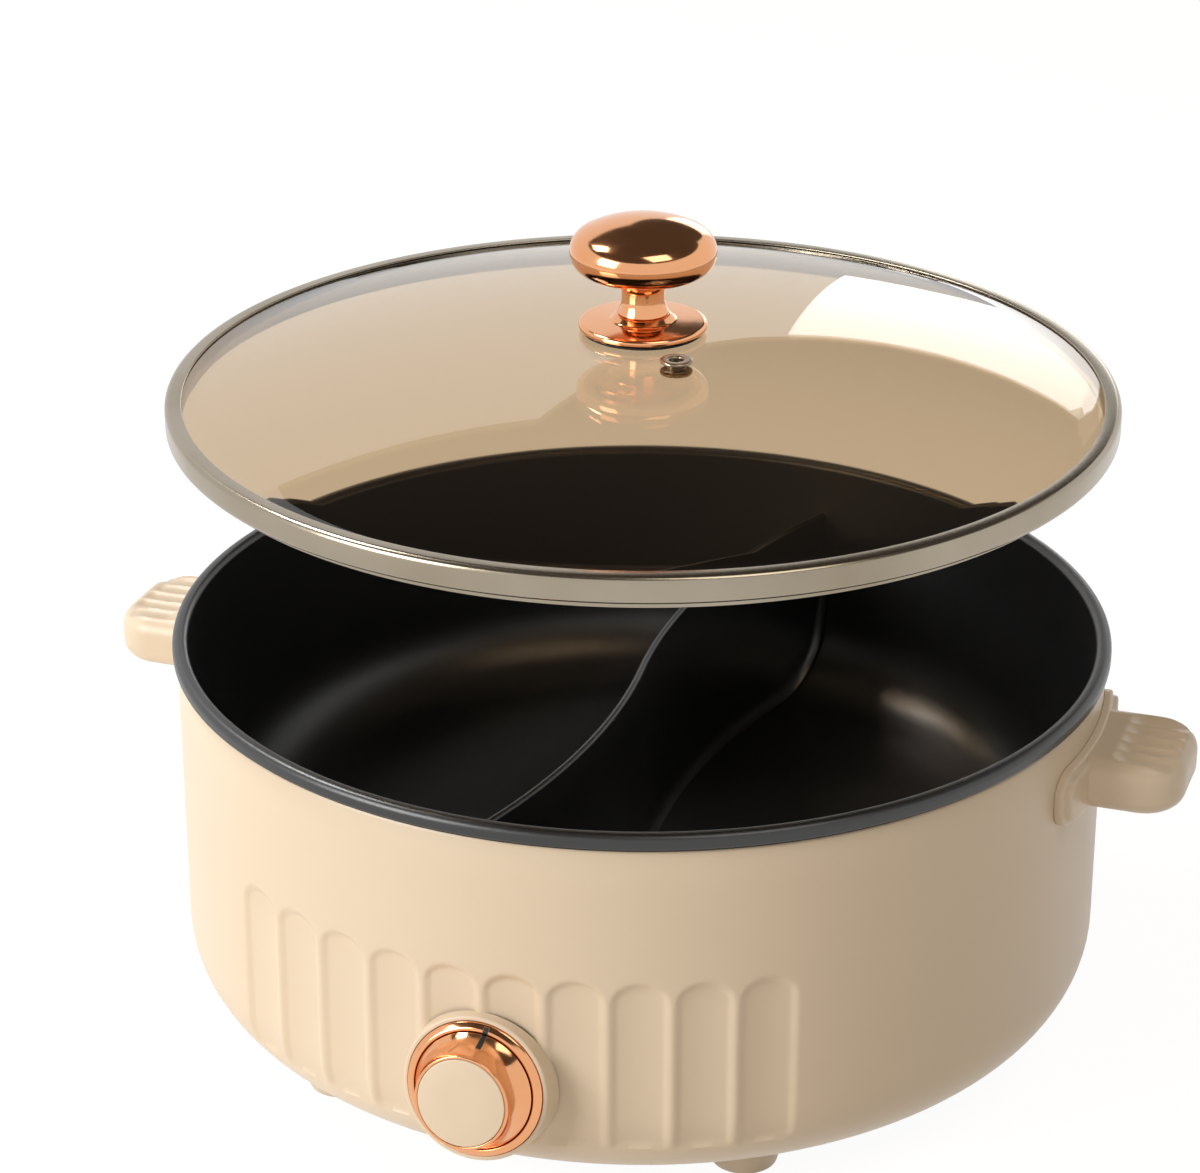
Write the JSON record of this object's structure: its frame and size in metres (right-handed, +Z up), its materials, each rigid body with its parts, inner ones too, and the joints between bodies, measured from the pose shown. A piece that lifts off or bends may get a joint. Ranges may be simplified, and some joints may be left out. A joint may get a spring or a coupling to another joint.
{
  "type": "electric hot pot",
  "caption": "Round electric hot pot with a divided non-stick pan, cream shell, lug handles, rotary control knob and lift-off glass lid.",
  "frame": {"origin": "on the table under the centre of the pot", "axes": "+Z up, -Y towards the control knob, X along the line of the two handles"},
  "size_m": [0.359, 0.332, 0.2646],
  "materials": {
    "cream": "satin cream moulding",
    "nonstick": "matt black non-stick coating over cast aluminium",
    "aluminium": "plain",
    "steel": "brushed",
    "rose_gold": "polished rose gold plating",
    "glass": "clear toughened",
    "black_plastic": "matt",
    "rubber": "matt",
    "brass": "plain"
  },
  "bodies": {
    "pot": {"base_cover": "black_plastic", "cover_screws": "steel", "foot_front_left": "cream", "foot_front_right": "cream", "foot_pad_front_left": "rubber", "foot_pad_front_right": "rubber", "foot_pad_rear_left": "rubber", "foot_pad_rear_right": "rubber", "foot_rear_left": "cream", "foot_rear_right": "cream", "heat_reflector": "aluminium", "heating_element": "steel", "inlet_pins": "brass", "inner_pot": "nonstick", "knob_bezel": "cream", "knob_trim_ring": "rose_gold", "left_handle_grip": "cream", "left_handle_plate": "cream", "lower_spacer": "steel", "outer_shell": "cream", "pot_divider": "nonstick", "pot_stud": "steel", "power_inlet": "black_plastic", "right_handle_grip": "cream", "right_handle_plate": "cream", "rim_lining": "rubber", "rotary_switch": "black_plastic", "stud_nut": "steel", "thermal_fuse": "black_plastic", "thermostat": "steel", "upper_spacer": "steel"},
    "lid": {"lid_band": "steel", "lid_glass": "glass", "lid_knob": "rose_gold", "lid_knob_flange": "rose_gold", "lid_knob_gasket": "rubber", "lid_screw": "steel", "lid_washer": "steel", "steam_vent": "steel"},
    "knob": {"control_knob": "rose_gold", "knob_cap": "cream", "knob_shaft": "steel"}
  },
  "joints": [
    {"name": "lid_lift", "type": "slide", "parent": "pot", "child": "lid", "axis": [0, 0, 1], "range_m": [-0.0709, 0.05]},
    {"name": "knob_turn", "type": "hinge", "parent": "pot", "child": "knob", "pos_m": [0, -0.154, 0.044], "axis": [0, -0.9882, 0.153], "range_deg": [-270, 0]}
  ]
}
